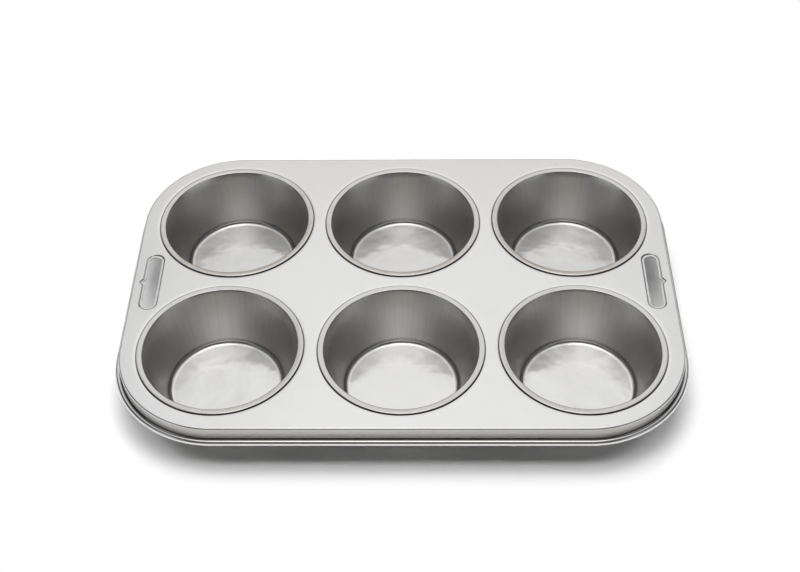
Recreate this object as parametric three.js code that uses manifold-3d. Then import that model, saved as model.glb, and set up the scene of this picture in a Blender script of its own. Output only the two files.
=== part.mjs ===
// Muffin pan: drawn cups seamed into a pressed deck, with a skirt rolled over a rim wire.
// Millimetres, +Z up. The pan stands on z = 0 with its middle on the Z axis, three cups along X.
import * as THREE from 'three';
import { mergeVertices } from 'three/addons/utils/BufferGeometryUtils.js';
import Module from 'manifold-3d';

// Driving dimensions
const cupColumns = 3;
const cupRows = 2;
const sheet = 0.4; // thickness of the tinned sheet
const mouthDiameter = 69.2; // inside the lip of a cup
const cupDepth = 27.3; // deck top down to the cup floor
const wallDraft = 17.5; // degrees that the cup wall leans out
const floorFillet = 2.5; // inside radius between floor and wall
const ringWidth = 2.85; // flange round a mouth, which lies on the deck
const lipBend = 0.6; // outside radius where the wall turns out into the flange
const ringGap = 6.1; // deck between neighbouring rings
const seamClearance = 0.1; // between the flange and the deck under it
const collarBend = 0.6; // outside radius where the edge of a hole turns down
const collarDepth = 2.0; // deck top down to the end of the collar round a hole
const collarClearance = 0.3; // between the collar and the cup wall inside it
const deckMargin = 7.95; // ring to the outside of the skirt
const edgeBend = 0.6; // outside radius where the deck turns down
const skirtDepth = 8.1; // deck top down to the middle of the rim wire
const wireDiameter = 1.6;
const wireClearance = 0.2; // between the wire and the hem round it
const hemGap = 0.3; // left open where the hem comes back to the skirt
const slotLength = 32.5; // hanging slot, the through cut
const slotWidth = 6.5;
const slotCorner = 2.4;
const slotLedge = 0.8; // flat step round the cut
const slotSlope = 0.7; // run of the pressed wall above the step
const slotDrop = 0.5; // depth of the step below the deck
const slotMargin = 4.45; // recess to the outside of the skirt
const notchDepth = 1.5; // small V in the outer side of the slot
const notchWidth = 3.4;

// Facets
const turnSteps = 36; // round one cup
const cornerSteps = turnSteps / 4; // round one corner of the deck
const bendSteps = 2; // in the bends of a cup
const collarSteps = 1; // in the bend hidden under a ring
const edgeSteps = 3; // in the bend at the deck's edge
const hemSteps = 9; // in the roll round the wire
const wireSides = 10;
const slotCornerSteps = 3;

// Worked out from the driving dimensions
const deckTop = sheet + cupDepth;
const mouthRadius = mouthDiameter / 2;
const ringRadius = mouthRadius + ringWidth;
const cupPitch = 2 * ringRadius + ringGap;
const cornerX = ((cupColumns - 1) / 2) * cupPitch;
const cornerY = ((cupRows - 1) / 2) * cupPitch;
const edgeReach = ringRadius + deckMargin;
const ringTop = deckTop + seamClearance + sheet;
const draft = THREE.MathUtils.degToRad(wallDraft);
const lipMiddle = lipBend - sheet / 2;
const lipReach = mouthRadius + lipBend;
const lipHeight = ringTop - lipBend;
const collarMiddle = collarBend - sheet / 2;
const collarHeight = deckTop - collarBend;
const hemInside = wireDiameter / 2 + wireClearance;
const hemMiddle = hemInside + sheet / 2;
const wireReach = edgeReach + hemInside;
const wireHeight = deckTop - skirtDepth;
const recessGrow = slotLedge + slotSlope;
const slotX = cornerX + edgeReach - slotMargin - recessGrow - slotWidth / 2;

const tinplate = { color: 0xd2d1cf, roughness: 0.3, metalness: 1.0 };
const drawnTinplate = { color: 0xc4c3c0, roughness: 0.26, metalness: 1.0 };
const steelWire = { color: 0x9a9b9c, roughness: 0.4, metalness: 1.0 };

const wasm = await Module();
wasm.setup();

// A closed geometry as a solid that can be joined and cut.
function solidOf(geometry) {
  geometry.deleteAttribute('normal');
  geometry.deleteAttribute('uv');
  const merged = mergeVertices(geometry);
  const vertProperties = merged.attributes.position.array;
  const triVerts = Uint32Array.from(merged.index.array);
  return new wasm.Manifold(new wasm.Mesh({ numProp: 3, vertProperties, triVerts }));
}

function geometryOf(solid) {
  const mesh = solid.getMesh();
  const geometry = new THREE.BufferGeometry();
  geometry.setAttribute('position', new THREE.BufferAttribute(mesh.vertProperties, 3));
  geometry.setIndex(new THREE.BufferAttribute(mesh.triVerts, 1));
  geometry.computeVertexNormals();
  return geometry;
}

// Points along an arc, from one angle to another in degrees, both ends included.
function arc(centreX, centreY, radius, from, to, steps) {
  return Array.from({ length: steps + 1 }, (_, step) => {
    const angle = THREE.MathUtils.degToRad(from + ((to - from) * step) / steps);
    return new THREE.Vector2(centreX + radius * Math.cos(angle), centreY + radius * Math.sin(angle));
  });
}

// Section of a bent sheet: its middle line moved half a thickness to each side.
function sheetSection(line) {
  const nearSide = [];
  const farSide = [];
  line.forEach((point, i) => {
    const before = line[Math.max(i - 1, 0)];
    const after = line[Math.min(i + 1, line.length - 1)];
    const arriving = point.clone().sub(before).normalize();
    const leaving = after.clone().sub(point).normalize();
    const along = arriving.clone().add(leaving).normalize();
    const across = new THREE.Vector2(along.y, -along.x);
    const straight = i > 0 ? arriving : leaving;
    const reach = sheet / 2 / along.dot(straight);
    nearSide.push(point.clone().addScaledVector(across, reach));
    farSide.unshift(point.clone().addScaledVector(across, -reach));
  });
  return [...nearSide, ...farSide];
}

// Section turned about the Z axis.
function revolve(section, closed) {
  const profile = closed ? [...section, section[0]] : section;
  return new THREE.LatheGeometry(profile, turnSteps).rotateX(Math.PI / 2);
}

// Middle of the corner cup in each quarter, counted round from +X +Y.
function cornerCentre(corner) {
  const sideX = corner === 0 || corner === 3 ? 1 : -1;
  const sideY = corner < 2 ? 1 : -1;
  return new THREE.Vector2(sideX * cornerX, sideY * cornerY);
}

// One point of the deck's outline at a reach from the corner cups. Each corner has its own columns.
function outlinePoint(column, reach) {
  const corner = Math.floor(column / (cornerSteps + 1));
  const step = column % (cornerSteps + 1);
  const angle = ((corner + step / cornerSteps) * Math.PI) / 2;
  const centre = cornerCentre(corner);
  return new THREE.Vector2(centre.x + reach * Math.cos(angle), centre.y + reach * Math.sin(angle));
}

const outlineColumns = 4 * (cornerSteps + 1);

// Section carried round the deck's outline: a revolve whose quarters move out to the corner cups.
function carryRound(section) {
  const profile = [...section, section[0]];
  const geometry = new THREE.LatheGeometry(profile, outlineColumns);
  const position = geometry.attributes.position;
  for (let i = 0; i < position.count; i += 1) {
    const column = Math.floor(i / profile.length) % outlineColumns;
    const point = profile[i % profile.length];
    const place = outlinePoint(column, point.x);
    position.setXYZ(i, place.x, place.y, point.y);
  }
  return geometry;
}

function cupCentres() {
  const centres = [];
  for (let row = 0; row < cupRows; row += 1) {
    for (let column = 0; column < cupColumns; column += 1) {
      const name = `cup_row${row + 1}_col${column + 1}`;
      centres.push({ name, x: column * cupPitch - cornerX, y: row * cupPitch - cornerY });
    }
  }
  return centres;
}

// Radius of the middle of the cup wall's sheet at a height.
function wallRadius(height) {
  const topRadius = lipReach - lipMiddle * Math.cos(draft);
  const topHeight = lipHeight + lipMiddle * Math.sin(draft);
  return topRadius - (topHeight - height) * Math.tan(draft);
}

// One drawn cup: floor, fillet, leaning wall, and the lip turned out into a flange over the deck.
function cupGeometry() {
  const lip = arc(lipReach, lipHeight, lipMiddle, 180 - wallDraft, 90, bendSteps);
  const flangeEnd = new THREE.Vector2(ringRadius, ringTop - sheet / 2);
  const floorHeight = sheet / 2;
  const cornerRadius = wallRadius(floorHeight);
  const filletMiddle = floorFillet + sheet / 2;
  const filletRun = filletMiddle * Math.tan((Math.PI / 2 - draft) / 2);
  const filletX = cornerRadius - filletRun;
  const fillet = arc(filletX, floorHeight + filletMiddle, filletMiddle, 270, 360 - wallDraft, bendSteps);
  const floorMiddle = new THREE.Vector2(0, floorHeight);
  return revolve(sheetSection([floorMiddle, ...fillet, ...lip, flangeEnd]), false);
}

// Radius of the middle of a collar's sheet at a height, outside the cup wall.
function collarRadius(height) {
  return wallRadius(height) + (sheet + collarClearance) / Math.cos(draft);
}

// Radius where the flat of the deck starts to turn down round a hole.
function collarReach() {
  const bendEnd = collarHeight + collarMiddle * Math.sin(draft);
  return collarRadius(bendEnd) + collarMiddle * Math.cos(draft);
}

// Flat of the deck, with a round hole for each cup.
function deckPlate() {
  const flatReach = edgeReach - edgeBend;
  const outline = Array.from({ length: outlineColumns }, (_, column) => outlinePoint(column, flatReach));
  const shape = new THREE.Shape(outline);
  for (const centre of cupCentres()) {
    const hole = arc(centre.x, centre.y, (collarReach() + ringRadius) / 2, 0, 360, turnSteps);
    shape.holes.push(new THREE.Path(hole.slice(0, turnSteps)));
  }
  const plate = new THREE.ExtrudeGeometry(shape, { depth: sheet, bevelEnabled: false });
  return solidOf(plate.translate(0, 0, deckTop - sheet));
}

// Edge of the deck: turned down into the skirt, then rolled out, up and back round the rim wire.
function rimAndHem() {
  const bendReach = edgeReach - edgeBend;
  const flatStart = new THREE.Vector2(ringRadius, deckTop - sheet / 2);
  const bend = arc(bendReach, deckTop - edgeBend, edgeBend - sheet / 2, 90, 0, edgeSteps);
  const openAngle = THREE.MathUtils.radToDeg(Math.acos((hemGap - hemInside) / (hemInside + sheet)));
  const hem = arc(wireReach, wireHeight, hemMiddle, 180, 360 + openAngle, hemSteps);
  return solidOf(carryRound(sheetSection([flatStart, ...bend, ...hem])));
}

// Edge of one hole: turned down into a collar that follows the wall of the cup inside it.
function collar(centre) {
  const end = deckTop - collarDepth;
  const collarEnd = new THREE.Vector2(collarRadius(end), end);
  const bend = arc(collarReach(), collarHeight, collarMiddle, 180 - wallDraft, 90, collarSteps);
  const flatEnd = new THREE.Vector2(ringRadius, deckTop - sheet / 2);
  const section = sheetSection([collarEnd, ...bend, flatEnd]);
  return solidOf(revolve(section, true).translate(centre.x, centre.y, 0));
}

// Outline of the hanging slot with the V on its outer side, +X, grown all round.
function slotOutline(grow) {
  const side = slotWidth / 2 + grow;
  const end = slotLength / 2 + grow;
  const corner = slotCorner + grow;
  const round = (x, y, from) => arc(x, y, corner, from, from + 90, slotCornerSteps);
  return new THREE.Shape([
    new THREE.Vector2(side, -notchWidth / 2),
    new THREE.Vector2(side + notchDepth, 0),
    new THREE.Vector2(side, notchWidth / 2),
    ...round(side - corner, end - corner, 0),
    ...round(corner - side, end - corner, 90),
    ...round(corner - side, corner - end, 180),
    ...round(side - corner, corner - end, 270),
  ]);
}

// Extruded outline at one end of the deck: end 1 is +X and end -1 is -X.
function slotBody(outline, settings, height, end) {
  const geometry = new THREE.ExtrudeGeometry(outline, settings);
  geometry.translate(slotX, 0, height);
  return solidOf(geometry.rotateZ(end > 0 ? 0 : Math.PI));
}

// Hanging slot: the sheet is pressed down to a step, and the middle of the step is cut through.
function pressSlot(deck, end) {
  const pressed = { depth: slotDrop, bevelThickness: slotDrop, bevelSize: slotSlope, bevelSegments: 1 };
  const underGrow = slotLedge + sheet * Math.tan(Math.atan2(slotDrop, slotSlope) / 2);
  const underside = slotBody(slotOutline(underGrow), pressed, deckTop - sheet, end);
  const recess = slotBody(slotOutline(slotLedge), pressed, deckTop, end);
  const through = { depth: deckTop, bevelEnabled: false };
  const cut = slotBody(slotOutline(0), through, 0, end);
  const below = new THREE.BoxGeometry(4 * slotX, 2 * slotLength, deckTop);
  const belowTop = solidOf(below.translate(0, 0, deckTop / 2 - sheet / 2));
  return deck.add(underside.intersect(belowTop)).subtract(recess).subtract(cut);
}

function deckGeometry() {
  let deck = deckPlate().add(rimAndHem());
  for (const centre of cupCentres()) {
    deck = deck.add(collar(centre));
  }
  deck = pressSlot(deck, 1);
  deck = pressSlot(deck, -1);
  return geometryOf(deck);
}

function wireGeometry() {
  const section = arc(wireReach, wireHeight, wireDiameter / 2, 0, 360, wireSides);
  return carryRound(section.slice(0, wireSides));
}

function piece(name, geometry, finish) {
  const mesh = new THREE.Mesh(geometry, new THREE.MeshStandardMaterial(finish));
  mesh.name = name;
  return mesh;
}

const pan = new THREE.Group();
pan.add(piece('deck', deckGeometry(), tinplate));
pan.add(piece('rim_wire', wireGeometry(), steelWire));

const cups = new THREE.Group();
const cupShape = cupGeometry();
for (const centre of cupCentres()) {
  const cup = piece(centre.name, cupShape, drawnTinplate);
  cup.position.set(centre.x, centre.y, 0);
  cups.add(cup);
}
pan.add(cups);

export default pan;
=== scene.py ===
import math

import bmesh
import bpy
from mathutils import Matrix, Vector


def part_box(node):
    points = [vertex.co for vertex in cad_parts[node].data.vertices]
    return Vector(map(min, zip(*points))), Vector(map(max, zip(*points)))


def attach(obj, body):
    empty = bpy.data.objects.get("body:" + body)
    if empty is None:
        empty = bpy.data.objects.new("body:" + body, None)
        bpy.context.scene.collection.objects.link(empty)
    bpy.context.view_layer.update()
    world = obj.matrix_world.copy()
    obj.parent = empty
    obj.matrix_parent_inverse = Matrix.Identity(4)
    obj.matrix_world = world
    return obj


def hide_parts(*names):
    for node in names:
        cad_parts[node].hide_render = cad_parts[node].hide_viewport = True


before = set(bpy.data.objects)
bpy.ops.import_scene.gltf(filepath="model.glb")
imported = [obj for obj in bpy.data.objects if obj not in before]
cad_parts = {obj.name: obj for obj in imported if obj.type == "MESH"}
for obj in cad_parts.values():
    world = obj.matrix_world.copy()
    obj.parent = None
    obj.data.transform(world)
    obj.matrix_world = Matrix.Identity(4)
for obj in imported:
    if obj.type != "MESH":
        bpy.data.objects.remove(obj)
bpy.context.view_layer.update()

mm = 0.001  # shapes are worked out in millimetres, and the scene is in metres
degree = math.radians(1)
sharpAngle = 40.0  # degrees past which an edge is shaded sharp
ringRise = 0.5  # mm from the deck to the top of a ring
cupNodes = sorted(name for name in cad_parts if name.startswith("cup_"))


def spanOf(node):
    low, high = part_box(node)
    return low / mm, high / mm


deckLow, deckHigh = spanOf("deck")
cupSpans = {name: spanOf(name) for name in cupNodes}
cupCentres = {name: (low + high) / 2 for name, (low, high) in cupSpans.items()}
cornerX = max(centre.x for centre in cupCentres.values())
cornerY = max(centre.y for centre in cupCentres.values())
ringTop = cupSpans[cupNodes[0]][1].z
deckTop = ringTop - ringRise
print("frame read:", len(cupNodes), "cups, deck top at", round(deckTop, 2), "mm")


# shader sockets that can be written as sums

class Flow:
    def __init__(self, tree, socket=None):
        self.tree = tree
        self.socket = socket

    def add(self, kind, settings, inputs, out=0):
        node = self.tree.nodes.new(kind)
        for key, value in settings.items():
            if key == "stops":
                self.fillRamp(node.color_ramp, value)
            else:
                setattr(node, key, value)
        for key, value in inputs.items():
            if isinstance(value, Flow):
                self.tree.links.new(value.socket, node.inputs[key])
            else:
                node.inputs[key].default_value = value
        return Flow(self.tree, node.outputs[out] if len(node.outputs) else None)

    def fillRamp(self, ramp, stops):
        while len(ramp.elements) < len(stops):
            ramp.elements.new(1.0)
        for element, (position, shade) in zip(ramp.elements, stops):
            element.position = position
            element.color = (shade, shade, shade, 1.0)

    def other(self, out):
        return Flow(self.tree, self.socket.node.outputs[out])

    def math(self, operation, first, second=0.0):
        return self.add("ShaderNodeMath", {"operation": operation}, {0: first, 1: second})

    def __add__(self, value):
        return self.math("ADD", self, value)

    def __radd__(self, value):
        return self.math("ADD", value, self)

    def __sub__(self, value):
        return self.math("SUBTRACT", self, value)

    def __rsub__(self, value):
        return self.math("SUBTRACT", value, self)

    def __mul__(self, value):
        return self.math("MULTIPLY", self, value)

    def __rmul__(self, value):
        return self.math("MULTIPLY", value, self)

    def __truediv__(self, value):
        return self.math("DIVIDE", self, value)

    def __rtruediv__(self, value):
        return self.math("DIVIDE", value, self)

    def __pow__(self, value):
        return self.math("POWER", self, value)

    def __rpow__(self, value):
        return self.math("POWER", value, self)

    def highest(self, value):
        return self.math("MAXIMUM", self, value)

    def swing(self, amount):
        # a noise that lies about a half, as a change up or down
        return (self - 0.5) * amount

    def ease(self, ends, unit=1.0):
        # from 0 at the first end to 1 at the second
        start, end = ends
        inputs = {"Value": self, "From Min": start * unit, "From Max": end * unit}
        return self.add("ShaderNodeMapRange", {"interpolation_type": "SMOOTHSTEP"}, inputs)

    def noise(self, vector, scale, detail, roughness=0.5):
        inputs = {"Vector": vector, "Scale": scale, "Detail": detail, "Roughness": roughness}
        return self.add("ShaderNodeTexNoise", {"noise_dimensions": "3D"}, inputs)

    def blend(self, factor, first, second):
        # sockets 6 and 7 are the node's two colours, and 2 is its result
        first, second = [(*end, 1.0) if isinstance(end, tuple) else end for end in (first, second)]
        return self.add("ShaderNodeMix", {"data_type": "RGBA"}, {0: factor, 6: first, 7: second}, 2)

    def vector(self, x, y, z):
        return self.add("ShaderNodeCombineXYZ", {}, {"X": x, "Y": y, "Z": z})

    def vectorMath(self, operation, inputs):
        return self.add("ShaderNodeVectorMath", {"operation": operation}, inputs)

    def axes(self, vector):
        split = self.add("ShaderNodeSeparateXYZ", {}, {"Vector": vector})
        return split, split.other("Y"), split.other("Z")

    def bump(self, height, strength, distance):
        inputs = {"Height": height, "Strength": strength, "Distance": distance}
        return self.add("ShaderNodeBump", {}, inputs)

    def metal(self, colour, roughness, surface=None):
        inputs = {"Base Color": colour, "Metallic": 1.0, "Roughness": roughness}
        if surface:
            inputs["Normal"] = surface
        return self.add("ShaderNodeBsdfPrincipled", {}, inputs)

    def mixShader(self, factor, first, second):
        return self.add("ShaderNodeMixShader", {}, {0: factor, 1: first, 2: second})


def newMaterial(name):
    # with the place on the piece, in metres from its origin
    material = bpy.data.materials.new(name)
    material.use_nodes = True
    material.node_tree.nodes.clear()
    flow = Flow(material.node_tree)
    return material, flow, flow.add("ShaderNodeTexCoord", {}, {}, "Object")


def finishMaterial(flow, shader):
    flow.add("ShaderNodeOutputMaterial", {}, {"Surface": shader})


# sheet-metal shapes

def bendLine(centreR, centreZ, radius, start, end, steps):
    angles = [math.radians(start + (end - start) * step / steps) for step in range(steps + 1)]
    return [(centreR + radius * math.cos(a), centreZ + radius * math.sin(a)) for a in angles]


def straightLine(first, last, nearEnd, steps):
    # rows close to both ends keep the smooth shading of the bends off the flat between them
    (r0, z0), (r1, z1) = first, last
    near = nearEnd / math.hypot(r1 - r0, z1 - z0)
    between = [near + (1 - 2 * near) * step / steps for step in range(1, steps)]
    shares = [near] + between + [1 - near]
    return [(r0 + (r1 - r0) * share, z0 + (z1 - z0) * share) for share in shares]


def circleLoop(x, y, r, z, columns):
    if not r:
        return [(x, y, z)]
    turns = [2 * math.pi * column / columns for column in range(columns)]
    return [(x + r * math.cos(a), y + r * math.sin(a), z) for a in turns]


def stitchLoops(mesh, inner, outer):
    # faces look up when the inner loop lies inside the outer one and both run anticlockwise
    count = len(outer)
    for i in range(count):
        j = (i + 1) % count
        if len(inner) == 1:
            mesh.faces.new((inner[0], outer[i], outer[j]))
        else:
            mesh.faces.new((inner[i], outer[i], outer[j], inner[j]))


def stitchBand(mesh, rows, outward):
    # rows of points that run outward, or inward to the edge of a hole; gives back the first loop
    loops = [[mesh.verts.new(Vector(point) * mm) for point in points] for points in rows]
    for last, loop in zip(loops, loops[1:]):
        if outward:
            stitchLoops(mesh, last, loop)
        else:
            stitchLoops(mesh, loop, last)
    return loops[0]


def meshObject(name, mesh):
    data = bpy.data.meshes.new(name)
    mesh.to_mesh(data)
    mesh.free()
    made = bpy.data.objects.new(name, data)
    bpy.context.scene.collection.objects.link(made)
    return made


def sheetObject(name, mesh, sheet, place):
    # the mesh is the upper face of the sheet, and its thickness goes on below
    piece = meshObject(name, mesh)
    piece.location = place
    thicken = piece.modifiers.new("thickness", "SOLIDIFY")
    thicken.thickness = sheet * mm
    thicken.offset = -1.0
    thicken.use_even_offset = True
    thicken.use_quality_normals = True
    bpy.context.view_layer.update()
    thick = piece.evaluated_get(bpy.context.evaluated_depsgraph_get())
    piece.data = bpy.data.meshes.new_from_object(thick)
    piece.modifiers.clear()
    piece.data.name = name
    piece.data.shade_smooth()
    piece.data.set_sharp_from_angle(angle=math.radians(sharpAngle))
    return piece


def dress(piece, node, material):
    piece.data.materials.clear()
    piece.data.materials.append(material)
    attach(piece, "root")
    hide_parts(node)


# cups

cupShell = {
    "sheet": 0.4,  # mm, as the other lengths are
    "draft": 16.4,  # degrees that the wall leans out
    "floorFillet": 2.5,
    "flare": 10.0,  # degrees more that it leans at the top
    "flareBend": 34.0,
    "lipBend": 0.6,  # where the wall turns out into the ring
    "mouthReach": 35.2,  # radius of the middle of the lip's bend
    "ringDip": 5.5,  # degrees that the ring slopes down to the cup
    "crownBend": 4.0,  # soft crown along the ring
    "crownReach": 36.7,  # radius of the top of the crown
    "edgeDip": 5.0,  # degrees that the ring falls before its edge
    "edgeBend": 0.67,
    "edgeEnd": 41.0,  # degrees where the edge stops turning down
    "columns": 128,
    "bendSteps": 10,
    "wallRows": 6,
    "slopeRows": 2,  # between the lip and the crown
    "nearFoot": 0.4,  # from a bend to the nearest row of the floor or the wall
    "nearLip": 0.2,
    # colours of the metal
    "tin": (0.68, 0.677, 0.670),
    "wallTin": (0.825, 0.818, 0.808),  # burnished by the drawing
    "drawnTin": (0.60, 0.594, 0.585),  # along the draw lines
    "ringTin": (0.555, 0.548, 0.537),
    "filletShadeTin": (0.46, 0.455, 0.45),  # painted shade: darker in the fillet, deepening the dark line where the foot reflects dark surroundings
    "rearShadeTin": (0.40, 0.396, 0.39),  # painted shade: the back row is a little darker
    "rearFloorShade": 0.2,  # share of that painted shade on its floors and on its walls
    "rearWallShade": 0.15,
    # heights where one finish or painted shade gives way to the next, the last from the deck's top
    "filletShadeStart": (0.9, 1.4),
    "wallStart": (1.9, 2.7),
    "filletShadeEnd": (3.6, 2.2),
    "ringStart": (-0.3, 0.1),
    # each noise has its scale per metre, its detail and, if need be, its roughness
    "patchNoise": (70.0, 3.0),
    "floorPatches": 0.4,
    "wallPatches": 0.3,
    "lineNoise": (50.0, 2.0, 0.6),  # draw lines up the wall
    "lineStretch": 0.5,  # along the wall, against round it
    "lineShift": 60.0,  # from one cup to the next
    "lineEnds": (0.42, 0.68),
    "wallLines": 0.24,
    "dentNoise": (75.0, 2.0),  # the floor isn't quite flat
    "dentStrength": 1.0,
    "dentHeight": 0.4,
    "roughness": 0.15,
    "floorGloss": 0.05,  # changes of roughness
    "wallRoughness": 0.315,
    "lineGloss": 0.025,
    "wallGloss": 0.03,
}


def ringLine():
    # from the flare of the wall, round the lip, up the slope, over the crown and down at the edge
    steps = cupShell["bendSteps"]
    lip = cupShell["lipBend"]
    edge = cupShell["edgeBend"]
    dip = cupShell["ringDip"]
    fall = cupShell["edgeDip"]
    arch = cupShell["crownBend"]
    crown = bendLine(cupShell["crownReach"], ringTop - arch, arch, 90 + dip, 90 - fall, steps)
    slopeStart = cupShell["mouthReach"] - lip * math.sin(math.radians(dip))
    slopeZ = crown[0][1] - (crown[0][0] - slopeStart) * math.tan(math.radians(dip))
    lipZ = slopeZ - lip * math.cos(math.radians(dip))
    lean = 180 - cupShell["draft"]
    turned = lean - cupShell["flare"]
    mouth = bendLine(cupShell["mouthReach"], lipZ, lip, turned, 90 + dip, steps)
    wide = cupShell["flareBend"]
    flareR = mouth[0][0] - wide * math.cos(math.radians(turned))
    flareZ = mouth[0][1] - wide * math.sin(math.radians(turned))
    flare = bendLine(flareR, flareZ, wide, lean, turned, steps)
    slope = straightLine(mouth[-1], crown[0], cupShell["nearLip"], cupShell["slopeRows"])
    edgeR = crown[-1][0] - edge * math.sin(math.radians(fall))
    edgeZ = crown[-1][1] - edge * math.cos(math.radians(fall))
    rim = bendLine(edgeR, edgeZ, edge, 90 - fall, cupShell["edgeEnd"], steps)
    return flare[:-1] + mouth + slope + crown + rim[1:]


def cupLine():
    # from the middle of the floor out to the edge of the ring
    lean = cupShell["draft"]
    near = cupShell["nearFoot"]
    ring = ringLine()
    floorZ = cupShell["sheet"]
    fillet = cupShell["floorFillet"]
    topR, topZ = ring[0]
    cornerR = topR - (topZ - floorZ) * math.tan(math.radians(lean))
    flatR = cornerR - fillet * math.tan(math.radians(90 - lean) / 2)
    floor = [(0.0, floorZ), (flatR / 2, floorZ), (flatR - near, floorZ)]
    foot = bendLine(flatR, floorZ + fillet, fillet, 270, 360 - lean, cupShell["bendSteps"])
    wall = straightLine(foot[-1], ring[0], near, cupShell["wallRows"])
    return floor + foot + wall + ring


def makeCup(node, material):
    mesh = bmesh.new()
    rows = [circleLoop(0.0, 0.0, r, z, cupShell["columns"]) for r, z in cupLine()]
    stitchBand(mesh, rows, True)
    centre = cupCentres[node]
    place = Vector((centre.x, centre.y, 0.0)) * mm
    piece = sheetObject(node + "_drawn", mesh, cupShell["sheet"], place)
    dress(piece, node, material)


def cupTinplate():
    material, flow, place = newMaterial("cup_tinplate")
    x, y, z = flow.axes(place)
    radius = (x * x + y * y) ** 0.5
    onRing = z.ease([deckTop + off for off in cupShell["ringStart"]], mm)
    onWall = z.ease(cupShell["wallStart"], mm) * (1 - onRing)

    # the seat of a cup sets its marks, so that no two are marked alike
    seat = flow.add("ShaderNodeObjectInfo", {}, {}, "Location")
    spot = flow.vectorMath("ADD", {0: place, 1: seat})
    shift = flow.vectorMath("SCALE", {0: seat, "Scale": cupShell["lineShift"]})
    around = flow.vector(x / radius, y / radius, z * cupShell["lineStretch"])
    around = flow.vectorMath("ADD", {0: around, 1: shift})
    lines = flow.noise(around, *cupShell["lineNoise"]).ease(cupShell["lineEnds"])
    patches = flow.noise(spot, *cupShell["patchNoise"])
    dented = flow.noise(spot, *cupShell["dentNoise"])
    dents = flow.bump(dented, cupShell["dentStrength"], cupShell["dentHeight"] * mm)
    # painted shade: darker towards the back row of cups
    rearRowShade = flow.axes(seat)[1].ease((0.0, cornerY), mm)

    # floor and ring
    tone = patches * cupShell["floorPatches"]
    colour = flow.blend(tone, cupShell["tin"], cupShell["drawnTin"])
    # painted shade on the back row's floors
    colour = flow.blend(rearRowShade * cupShell["rearFloorShade"], colour, cupShell["rearShadeTin"])
    # painted shade on the floor's fillet
    colour = flow.blend(z.ease(cupShell["filletShadeStart"], mm), colour, cupShell["filletShadeTin"])
    colour = flow.blend(onRing, colour, cupShell["ringTin"])
    roughness = cupShell["roughness"] + patches.swing(cupShell["floorGloss"])
    floorSheet = flow.metal(colour, roughness, dents)

    # wall
    tone = lines * cupShell["wallLines"] + patches * cupShell["wallPatches"]
    colour = flow.blend(tone, cupShell["wallTin"], cupShell["drawnTin"])
    # painted shade on the back row's walls
    colour = flow.blend(rearRowShade * cupShell["rearWallShade"], colour, cupShell["rearShadeTin"])
    # painted shade, darker down the wall towards the fillet
    colour = flow.blend(z.ease(cupShell["filletShadeEnd"], mm), colour, cupShell["filletShadeTin"])
    roughness = cupShell["wallRoughness"] + lines.swing(cupShell["lineGloss"])
    roughness = roughness + patches.swing(cupShell["wallGloss"])
    finishMaterial(flow, flow.mixShader(onWall, floorSheet, flow.metal(colour, roughness)))
    return material


# deck with its skirt, hem, collars and hanging slots

deckSheet = {
    "sheet": 0.4,  # mm, as the other lengths are
    "edgeBend": 0.8,  # outside radius where the deck turns down
    "hemRadius": 1.5,  # outside radius of the roll round the wire
    "hemLift": 0.15,  # how far the roll sits above the middle of the wire
    "hemGap": 0.3,  # left open where the roll comes back to the skirt
    "sinkReach": 40.0,  # radius round a cup where the deck starts to sink to the ring
    "sinkLean": 6.0,  # degrees that it leans when it gets to the crease
    "creaseReach": 38.1,  # radius where it bends down into the crease
    "creaseBend": 1.33,
    "creaseLean": 30.0,
    "collarReach": 35.78,  # radius where the edge of the hole turns down
    "collarBend": 0.6,
    "collarDepth": 2.0,
    "cornerSteps": 36,
    "sideStep": 9.0,  # between columns along the straight sides
    "holeColumns": 128,
    "hemSteps": 24,
    "bendSteps": 10,
    "creaseSteps": 6,
    "flatSteps": 4,
    "skirtRows": 3,
    "flatEdge": 1.2,  # flat kept beside a bend
    "nearEdge": 0.2,  # from a bend to the nearest row of the flat or of the skirt
    "nearSkirt": 0.3,
    # colours of the metal
    "tin": (0.69, 0.69, 0.687),
    "dullTin": (0.645, 0.642, 0.636),
    # painted shade: a darker skirt, standing in for a darker reflection of the floor in front
    "skirtShadeTin": (0.45, 0.442, 0.428),
    # where the skirt's painted shade and rougher finish start below the deck's top, and where they
    # end above the hem
    "skirtStart": (-0.4, -0.8),
    "skirtEnd": 0.3,
    # each noise has its scale per metre, its detail and, if need be, its roughness
    "cloudNoise": (22.0, 3.0),
    "cloudEnds": (0.4, 0.75),
    "cloudTone": 0.35,
    "mottleNoise": (160.0, 4.0, 0.6),
    "mottleEnds": (0.45, 0.8),
    "mottleTone": 0.25,
    "rollNoise": (1500.0, 3.0, 0.6),  # fine lines of the rolled sheet
    "rollStretch": 0.06,
    "waveStrength": 0.05,
    "waveHeight": 0.2,
    "roughness": 0.17,
    "skirtRoughness": 0.36,
    "hemRoughness": 0.1,
    "cloudGloss": 0.06,  # changes of roughness
    "mottleGloss": 0.04,
    "rollGloss": 0.03,
}

hangingSlot = {
    "length": 32.5,  # mm, the through cut
    "width": 6.0,
    "corner": 2.9,
    "ledge": 0.7,  # flat step round the cut
    "drop": 0.5,  # step below the deck
    "lean": 36.0,  # degrees that the pressed wall leans
    "bend": 0.25,  # at its top and at its foot
    "margin": 4.3,  # recess to the outside of the skirt
    "notchDepth": 1.5,  # small V on the outer side
    "notchWidth": 3.4,
    "notchRound": 0.3,
    "notchSpread": 1.3,  # how far its columns go, in half widths of the notch
    "notchSteps": 12,
    "cornerSteps": 10,
    "slopeSteps": 10,
    "wallRows": 3,
    "nearTop": (0.3, 0.1),  # from a bend to the nearest rows of the deck, the wall and the ledge
    "nearWall": 0.05,
    "nearLedge": 0.15,
}


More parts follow.
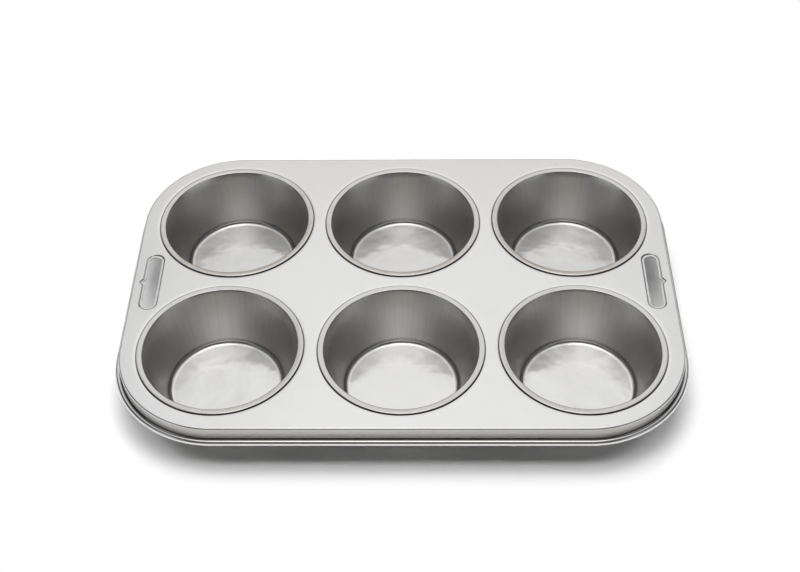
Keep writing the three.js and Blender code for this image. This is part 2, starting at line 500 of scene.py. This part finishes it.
def outlineLoop(reach, z):
    # anticlockwise from the right side, one corner after the other, with columns on the straights
    corners = [(cornerX, cornerY), (-cornerX, cornerY), (-cornerX, -cornerY), (cornerX, -cornerY)]
    points = []
    for number, (x, y) in enumerate(corners):
        start = 90 * number
        points += bendLine(x, y, reach, start, start + 90, deckSheet["cornerSteps"])
        nextX, nextY = corners[(number + 1) % len(corners)]
        runX, runY = nextX - x, nextY - y
        parts = round(math.hypot(runX, runY) / deckSheet["sideStep"])
        px, py = points[-1]
        shares = [(runX * part / parts, runY * part / parts) for part in range(1, parts)]
        points += [(px + shareX, py + shareY) for shareX, shareY in shares]
    return [(px, py, z) for px, py in points]


def rimLine():
    # from the flat deck over its edge, down the skirt and round the hem
    bead = deckSheet["hemRadius"]
    inside = bead - deckSheet["sheet"]
    wireReach = deckHigh.x - cornerX - bead
    wireZ = deckLow.z + bead + deckSheet["hemLift"]
    edge = wireReach - inside
    bend = deckSheet["edgeBend"]
    nears = (deckSheet["flatEdge"], deckSheet["nearEdge"])
    flat = [(edge - bend - near, deckTop) for near in nears]
    shoulder = bendLine(edge - bend, deckTop - bend, bend, 90, 0, deckSheet["bendSteps"])
    openAngle = math.degrees(math.acos((deckSheet["hemGap"] - inside) / bead))
    hem = bendLine(wireReach, wireZ, inside, 180, 360 + openAngle, deckSheet["hemSteps"])
    skirt = straightLine(shoulder[-1], hem[0], deckSheet["nearSkirt"], deckSheet["skirtRows"])
    return flat + shoulder + skirt + hem


def collarLine():
    # the deck sinks a little, bends into the crease at the ring, and turns down along the cup wall
    start, end = deckSheet["sinkReach"], deckSheet["creaseReach"]
    lean = math.radians(deckSheet["sinkLean"])
    steep = math.radians(deckSheet["creaseLean"])
    wholeFall = math.tan(lean) * (start - end) / 3  # along a cubic that starts level
    shares = [step / deckSheet["bendSteps"] for step in range(deckSheet["bendSteps"])]
    sinking = [(start + (end - start) * s, deckTop - wholeFall * s ** 3) for s in shares]
    crease = deckSheet["creaseBend"]
    creaseR = end + crease * math.sin(lean)
    creaseZ = deckTop - wholeFall - crease * math.cos(lean)
    leans = (90 + deckSheet["sinkLean"], 90 + deckSheet["creaseLean"])
    bent = bendLine(creaseR, creaseZ, crease, *leans, deckSheet["creaseSteps"])
    bend = deckSheet["collarBend"]
    flatR = bent[-1][0] - bend * math.sin(steep)
    flatZ = bent[-1][1] + bend * math.cos(steep)
    leans = (270 + deckSheet["creaseLean"], 270)
    flat = bendLine(flatR, flatZ, bend, *leans, deckSheet["flatSteps"])
    leans = (90, 180 - cupShell["draft"])
    turnZ = flat[-1][1] - bend
    turn = bendLine(deckSheet["collarReach"], turnZ, bend, *leans, deckSheet["creaseSteps"])
    endZ = deckTop - deckSheet["collarDepth"]
    endR = turn[-1][0] - (turn[-1][1] - endZ) * math.tan(math.radians(cupShell["draft"]))
    return sinking + bent + flat[1:] + turn + [(endR, endZ)]


def recessReach():
    # how far the top of the pressed wall lies outside the cut
    lean = math.radians(hangingSlot["lean"])
    bends = 2 * hangingSlot["bend"]
    run = (hangingSlot["drop"] - bends * (1 - math.cos(lean))) / math.tan(lean)
    return hangingSlot["ledge"] + bends * math.sin(lean) + run


def slotLine():
    # growth of the outline and height, from the flat deck in to the cut
    ledge = hangingSlot["ledge"]
    drop = hangingSlot["drop"]
    lean = hangingSlot["lean"]
    bend = hangingSlot["bend"]
    steps = hangingSlot["slopeSteps"]
    flat = [(recessReach() + near, 0.0) for near in hangingSlot["nearTop"]]
    top = bendLine(recessReach(), -bend, bend, 90, 90 + lean, steps)
    foot = bendLine(ledge, bend - drop, bend, 270 + lean, 270, steps)
    wall = straightLine(top[-1], foot[0], hangingSlot["nearWall"], hangingSlot["wallRows"])
    return flat + top + wall + foot + [(ledge - hangingSlot["nearLedge"], -drop), (0.0, -drop)]


def slotLoop(grow, z, end):
    side = hangingSlot["width"] / 2 + grow
    tip = hangingSlot["length"] / 2 + grow
    corner = hangingSlot["corner"] + grow
    half = hangingSlot["notchWidth"] / 2
    soft = hangingSlot["notchRound"]
    steps = hangingSlot["notchSteps"]
    points = []
    for step in range(-steps, steps + 1):
        y = step / steps * half * hangingSlot["notchSpread"]
        lean = (math.hypot(y, soft) - soft) / half  # a V with a soft bottom
        points.append((side + hangingSlot["notchDepth"] * (1 - min(1.0, lean)), y))
    for number, (cx, cy) in enumerate([(1, 1), (-1, 1), (-1, -1), (1, -1)]):
        middle = (cx * (side - corner), cy * (tip - corner))
        start = 90 * number
        points += bendLine(*middle, corner, start, start + 90, hangingSlot["cornerSteps"])
    skirtX = deckHigh.x - 2 * deckSheet["hemRadius"] + deckSheet["sheet"]
    slotX = skirtX - hangingSlot["margin"] - recessReach() - hangingSlot["width"] / 2
    return [(end * (slotX + px), end * py, z) for px, py in points]


def makeDeck(material):
    mesh = bmesh.new()
    rims = [stitchBand(mesh, [outlineLoop(reach, z) for reach, z in rimLine()], True)]
    columns = deckSheet["holeColumns"]
    for centre in cupCentres.values():
        rows = [circleLoop(centre.x, centre.y, r, z, columns) for r, z in collarLine()]
        rims.append(stitchBand(mesh, rows, False))
    for end in (1, -1):
        rows = [slotLoop(grow, deckTop + fall, end) for grow, fall in slotLine()]
        rims.append(stitchBand(mesh, rows, False))

    # the flat between the edge, the holes and the slots
    edges = []
    for loop in rims:
        for vert, following in zip(loop, loop[1:] + loop[:1]):
            edges.append(mesh.edges.get((vert, following)))
    filled = bmesh.ops.triangle_fill(mesh, edges=edges, use_beauty=True, normal=(0, 0, 1))
    faces = [item for item in filled["geom"] if isinstance(item, bmesh.types.BMFace)]
    mesh.normal_update()
    bmesh.ops.reverse_faces(mesh, faces=[face for face in faces if face.normal.z < 0])
    piece = sheetObject("deck_pressed", mesh, deckSheet["sheet"], Vector((0, 0, 0)))
    dress(piece, "deck", material)


def deckTinplate():
    material, flow, place = newMaterial("deck_tinplate")
    x, y, z = flow.axes(place)
    clouds = flow.noise(place, *deckSheet["cloudNoise"])
    mottle = flow.noise(place, *deckSheet["mottleNoise"])
    along = flow.vector(x * deckSheet["rollStretch"], y, z)
    rolled = flow.noise(along, *deckSheet["rollNoise"])
    hemTop = deckLow.z + 2 * deckSheet["hemRadius"] + deckSheet["hemLift"]
    overHem = z.ease((hemTop, hemTop + deckSheet["skirtEnd"]), mm)
    onSkirt = z.ease([deckTop + off for off in deckSheet["skirtStart"]], mm) * overHem

    dull = clouds.ease(deckSheet["cloudEnds"]) * deckSheet["cloudTone"]
    dull = dull + mottle.ease(deckSheet["mottleEnds"]) * deckSheet["mottleTone"]
    colour = flow.blend(dull, deckSheet["tin"], deckSheet["dullTin"])
    # painted shade on the skirt
    colour = flow.blend(onSkirt, colour, deckSheet["skirtShadeTin"])
    roughness = deckSheet["roughness"] + clouds.swing(deckSheet["cloudGloss"])
    roughness = roughness + mottle.swing(deckSheet["mottleGloss"])
    roughness = roughness + rolled.swing(deckSheet["rollGloss"])
    skirtMore = deckSheet["skirtRoughness"] - deckSheet["roughness"]
    hemMore = deckSheet["hemRoughness"] - deckSheet["roughness"]
    roughness = roughness + onSkirt * skirtMore + (1 - overHem) * hemMore
    waves = flow.bump(clouds, deckSheet["waveStrength"], deckSheet["waveHeight"] * mm)
    finishMaterial(flow, flow.metal(colour, roughness, waves))
    return material


# rim wire, kept as the frame has it

rimWire = {
    "steel": (0.58, 0.59, 0.59),
    "oxide": (0.34, 0.33, 0.32),
    "oxideNoise": (240.0, 4.0, 0.6),  # scale, detail and roughness
    "oxideEnds": (0.45, 0.75),
    "roughness": 0.38,
    "oxideGloss": 0.2,  # change of roughness
    "grainNoise": (3000.0, 2.0),
    "grainStrength": 0.15,
    "grainHeight": 0.03,  # mm
}


def rimSteel():
    material, flow, place = newMaterial("rim_steel")
    oxide = flow.noise(place, *rimWire["oxideNoise"])
    colour = flow.blend(oxide.ease(rimWire["oxideEnds"]), rimWire["steel"], rimWire["oxide"])
    roughness = rimWire["roughness"] + oxide.swing(rimWire["oxideGloss"])
    grain = flow.noise(place, *rimWire["grainNoise"])
    surface = flow.bump(grain, rimWire["grainStrength"], rimWire["grainHeight"] * mm)
    finishMaterial(flow, flow.metal(colour, roughness, surface))
    return material


cupFinish = cupTinplate()
for cupNode in cupNodes:
    makeCup(cupNode, cupFinish)
print("cups made")
makeDeck(deckTinplate())
print("deck made")
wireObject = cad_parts["rim_wire"]
wireObject.data.materials.clear()
wireObject.data.materials.append(rimSteel())
print("rim wire finished")


# studio: white floor, soft lamps overhead, and a tent that only the metal reflects

whiteFloor = {
    "size": 12.0,  # metres, as all of the studio is
    "cells": 8,
    "shade": 0.95,
    "fade": (0.11, 0.19),  # from the middle of the pan, where the shadow gives way to white
    "fadeSquash": 0.72,  # along the long side
}


def seenDirectly(flow):
    path = flow.add("ShaderNodeLightPath", {}, {}, "Is Camera Ray")
    return path.highest(path.other("Is Glossy Ray")).highest(path.other("Is Transmission Ray"))


def makeFloor():
    material, flow, place = newMaterial("floor_white")
    x, y = flow.axes(place)[:2]
    x = x * whiteFloor["fadeSquash"]
    away = ((x * x + y * y) ** 0.5).ease(whiteFloor["fade"])
    shade = whiteFloor["shade"]
    lit = flow.add("ShaderNodeBsdfDiffuse", {}, {"Color": (shade, shade, shade, 1)})
    white = flow.add("ShaderNodeEmission", {}, {"Color": (1, 1, 1, 1), "Strength": 1.0})
    finishMaterial(flow, flow.mixShader(away * seenDirectly(flow), lit, white))
    mesh = bmesh.new()
    cells = whiteFloor["cells"]
    bmesh.ops.create_grid(mesh, x_segments=cells, y_segments=cells, size=whiteFloor["size"] / 2)
    floor = meshObject("floor", mesh)
    floor.data.materials.append(material)


tentCloth = {
    "radius": 3.0,
    "columns": 48,
    "rows": 32,
    "glow": 4.4,
    # shares of the glow by degrees from overhead towards the back, and by degrees to either side
    "cloth": {
        "back": [
            (-90, 0.015), (-76, 0.025), (-64, 0.055), (-48, 0.05), (-32, 0.035),
            (-23, 0.035), (-12, 0.06), (0, 0.13), (14, 0.21), (24, 0.275),
            (30, 0.275), (37, 0.268), (43, 0.258), (48, 0.245), (52, 0.215),
            (56, 0.18), (60, 0.135), (66, 0.065), (72, 0.03), (90, 0.015),
        ],
        "side": [
            (0, 1.0), (8, 0.98), (14, 0.87), (20, 0.70), (30, 0.56), (36, 0.52),
            (42, 0.46), (50, 0.14), (56, 0.07), (70, 0.04), (90, 0.04),
        ],
    },
    # two bright boxes overhead
    "boxes": {
        "back": [
            (-23, 0.0), (-20, 0.25), (-18, 0.6), (-15, 0.55), (-12.5, 0.08), (-8, 0.06),
            (-5, 0.4), (5, 0.4), (9, 0.28), (15, 0.14), (25, 0.0),
        ],
        "side": [(0, 1.0), (6, 0.95), (10, 0.75), (15, 0.5), (20, 0.3), (30, 0.1), (40, 0.0)],
    },
    # a low glow at both ends, which lights the pan as seen from its other sides
    "flanks": {
        "back": [
            (-90, 0.01), (-83, 0.03), (-75, 0.16), (-62, 0.18), (-50, 0.08), (-28, 0.02),
            (-12, 0.02), (38, 0.0), (55, 0.034), (75, 0.055), (90, 0.06),
        ],
        "side": [(0, 0.0), (28, 0.0), (36, 0.35), (44, 1.0), (70, 1.0), (90, 0.8)],
    },
    # the front and the low back are a little warm and the sides a little cool, between two angles
    "frontTint": (1.0, 0.91, 0.84),
    "frontEnds": (-13, -24),
    "backTint": (1.0, 0.86, 0.72),
    "backEnds": (48, 58),
    "sideTint": (0.955, 0.985, 1.0),
    "sideEnds": (18, 45),
}


def clothGlow(flow, back, side, shares):
    # one ramp runs over half a turn from front to back, the other a quarter turn to either side
    backStops = [(0.5 + off / 180, share) for off, share in shares["back"]]
    sideStops = [(off / 90, share) for off, share in shares["side"]]
    ramp = "ShaderNodeValToRGB"
    glow = flow.add(ramp, {"stops": backStops}, {"Fac": 0.5 + back / math.pi})
    return glow * flow.add(ramp, {"stops": sideStops}, {"Fac": side / (math.pi / 2)})


def makeTent():
    material, flow, place = newMaterial("tent_cloth")
    x, y, z = flow.axes(flow.vectorMath("NORMALIZE", {0: place}))
    back = flow.math("ARCTAN2", y, z)
    side = flow.math("ARCSINE", flow.math("ABSOLUTE", x))
    glow = clothGlow(flow, back, side, tentCloth["cloth"])
    for part in ("boxes", "flanks"):
        glow = glow + clothGlow(flow, back, side, tentCloth[part])
    inFront = back.ease(tentCloth["frontEnds"], degree)
    tint = flow.blend(inFront, (1.0, 1.0, 1.0), tentCloth["frontTint"])
    tint = flow.blend(back.ease(tentCloth["backEnds"], degree), tint, tentCloth["backTint"])
    tint = flow.blend(side.ease(tentCloth["sideEnds"], degree), tint, tentCloth["sideTint"])
    colour = flow.vectorMath("MULTIPLY", {0: tint, 1: glow})
    inputs = {"Color": colour, "Strength": tentCloth["glow"]}
    finishMaterial(flow, flow.add("ShaderNodeEmission", {}, inputs))
    mesh = bmesh.new()
    columns, rows = tentCloth["columns"], tentCloth["rows"]
    bmesh.ops.create_uvsphere(mesh, u_segments=columns, v_segments=rows, radius=tentCloth["radius"])
    tent = meshObject("tent", mesh)
    tent.data.materials.append(material)
    tent.visible_camera = False
    tent.visible_diffuse = False
    tent.visible_transmission = False
    tent.visible_volume_scatter = False
    tent.visible_shadow = False


softLamps = {
    "height": 1.25,
    # middle to the right and to the back, width, depth and power
    "boxes": {
        "front": (-0.01, -0.375, 1.7, 0.25, 8.4),
        "middle": (-0.01, -0.03, 0.76, 0.34, 5.9),
        "back": (-0.01, 0.40, 0.62, 0.50, 3.8),
        "far": (0.0, 1.0, 1.2, 0.6, 4.0),
        "left": (-1.0, 0.1, 0.6, 0.6, 4.0),
        "right": (1.0, 0.1, 0.6, 0.6, 1.6),
    },
}


def makeLamp(name):
    lamp = bpy.data.lights.new("soft" + name, "AREA")
    x, y, width, depth, power = softLamps["boxes"][name]
    lamp.shape = "RECTANGLE"
    lamp.size = width
    lamp.size_y = depth
    lamp.energy = power
    box = bpy.data.objects.new("soft" + name, lamp)
    bpy.context.scene.collection.objects.link(box)
    box.location = (x, y, softLamps["height"])
    box.visible_glossy = False  # the metal shows the tent instead


roomLight = {
    "ambient": 0.06,  # on what isn't metal
    "seen": 1.0,  # white where it is looked at or mirrored
}


def makeWorld():
    world = bpy.data.worlds.new("studio_world")
    bpy.context.scene.world = world
    world.use_nodes = True
    world.node_tree.nodes.clear()
    flow = Flow(world.node_tree)
    lights = []
    for strength in (roomLight["ambient"], roomLight["seen"]):
        inputs = {"Color": (1, 1, 1, 1), "Strength": strength}
        lights.append(flow.add("ShaderNodeBackground", {}, inputs))
    room = flow.mixShader(seenDirectly(flow), *lights)
    flow.add("ShaderNodeOutputWorld", {}, {"Surface": room})


photoCamera = {
    "place": (0.00965, -0.41232, 0.46920),
    "turn": (42.826, 0.817, 0.5925),  # degrees
    "lens": 58.164,
    "sensor": 36.0,
}


def makeCamera():
    data = bpy.data.cameras.new("photo_camera")
    data.lens = photoCamera["lens"]
    data.sensor_width = photoCamera["sensor"]
    data.sensor_fit = "HORIZONTAL"
    camera = bpy.data.objects.new("photo_camera", data)
    bpy.context.scene.collection.objects.link(camera)
    camera.location = photoCamera["place"]
    camera.rotation_euler = [math.radians(angle) for angle in photoCamera["turn"]]
    bpy.context.scene.camera = camera


makeFloor()
makeTent()
for lampName in softLamps["boxes"]:
    makeLamp(lampName)
makeWorld()
makeCamera()
bpy.context.scene.view_settings.view_transform = "Standard"
print("studio made")
